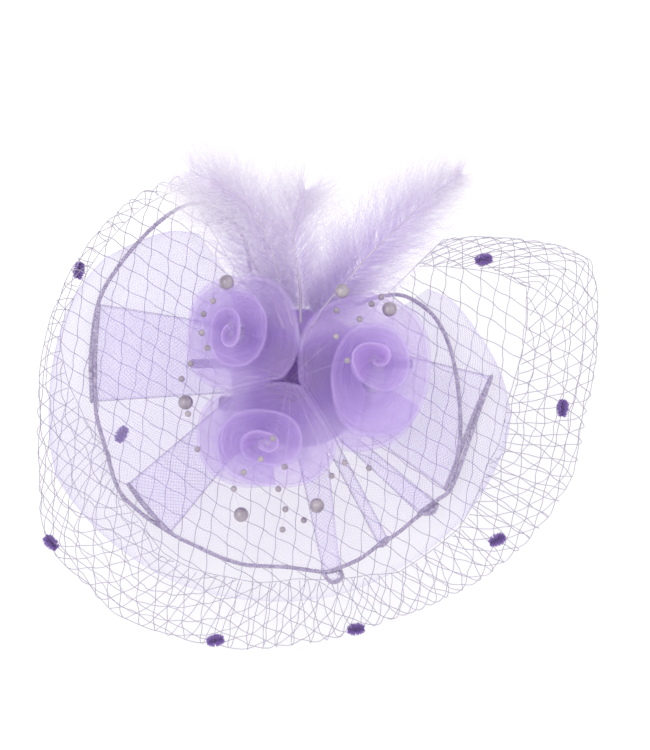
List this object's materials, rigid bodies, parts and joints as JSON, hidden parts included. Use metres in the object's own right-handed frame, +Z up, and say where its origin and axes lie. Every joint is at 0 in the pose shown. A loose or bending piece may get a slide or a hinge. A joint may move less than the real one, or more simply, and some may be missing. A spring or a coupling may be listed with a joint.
{
  "type": "fascinator headpiece",
  "caption": "Birdcage-veil fascinator with organza roses, feather plumes and pearl sprays on a felt base, carried by a slim headband and a crocodile clip.",
  "frame": {"origin": "top of the head's seat: the inner face of the headband at its crown, on the middle line of the band", "axes": "+X across the head to the right of the picture, +Z up, -Y towards the viewer; the fascinator's face looks up at 50 degrees from the horizontal, along (0, -0.643, 0.766)"},
  "size_m": [0.3017, 0.2487, 0.2377],
  "materials": {
    "steel": "flat spring steel strip, sealed inside the ribbon",
    "ribbon": "black satin ribbon wound over the band",
    "tip": "black moulded end cap",
    "loop_ribbon": "lilac grosgrain ribbon keeper",
    "lining": "lilac felt lining",
    "buckram": "stiffened buckram",
    "felt": "lilac wool felt",
    "dark_felt": "deep purple felt",
    "clip_metal": "black lacquered steel",
    "spring_steel": "bright spring wire",
    "thread": "lilac sewing thread",
    "net": "pale lilac grey diamond net",
    "chenille": "deep purple chenille tuft",
    "tulle": "very pale lilac sheer",
    "crin": "sheer lilac horsehair braid",
    "lurex_cord": "braided cord with a metallic thread",
    "organza": "lilac crin and organza, rolled in layers",
    "down": "marabou down, white at the tips and lilac at the root",
    "clear_wire": "clear nylon filament",
    "pearl": "grey-lilac pearl lacquer"
  },
  "bodies": {
    "headband": {"headband_core": "steel", "headband_wrap": "ribbon", "headband_tip_left": "tip", "headband_tip_right": "tip"},
    "headpiece": {"band_loop_left": "loop_ribbon", "band_loop_right": "loop_ribbon", "base_lining": "lining", "base_stiffener": "buckram", "base_felt_top": "felt", "center_pad": "dark_felt", "clip_fixed_arm": "clip_metal", "clip_pin": "clip_metal", "clip_spring": "spring_steel", "clip_stitches": "thread", "veil_net": "net", "veil_dots": "chenille", "under_brim": "tulle", "brim_crin": "crin", "brim_edge_cord": "lurex_cord", "rose_left_outer_petals": "organza", "rose_left_inner_petals": "organza", "rose_left_heart": "organza", "rose_lower_outer_petals": "organza", "rose_lower_inner_petals": "organza", "rose_lower_heart": "organza", "rose_right_outer_petals": "organza", "rose_right_inner_petals": "organza", "rose_right_heart": "organza", "feather_left_outer": "down", "feather_left_inner": "down", "feather_middle": "down", "feather_right": "down", "spray_1_wire": "clear_wire", "spray_1_pearls": "pearl", "spray_2_wire": "clear_wire", "spray_2_pearls": "pearl", "spray_3_wire": "clear_wire", "spray_3_pearls": "pearl", "spray_4_wire": "clear_wire", "spray_4_pearls": "pearl", "spray_5_wire": "clear_wire", "spray_5_pearls": "pearl", "spray_6_wire": "clear_wire", "spray_6_pearls": "pearl", "spray_7_wire": "clear_wire", "spray_7_pearls": "pearl", "spray_8_wire": "clear_wire", "spray_8_pearls": "pearl", "spray_9_wire": "clear_wire", "spray_9_pearls": "pearl"},
    "clip_lever": {"clip_moving_arm": "clip_metal"}
  },
  "joints": [
    {"name": "band_slide", "type": "hinge", "parent": "headband", "child": "headpiece", "pos_m": [0, 0.03998, -0.04765], "axis": [0, 0.766, 0.6428], "range_deg": [-40, 40]},
    {"name": "clip_pivot", "type": "hinge", "parent": "headpiece", "child": "clip_lever", "pos_m": [-0.027, -0.01518, -0.01613], "axis": [0, 0.766, 0.6428], "range_deg": [0, 28], "stiffness_Nm_per_rad": 0.05, "springref_deg": -17.19}
  ]
}
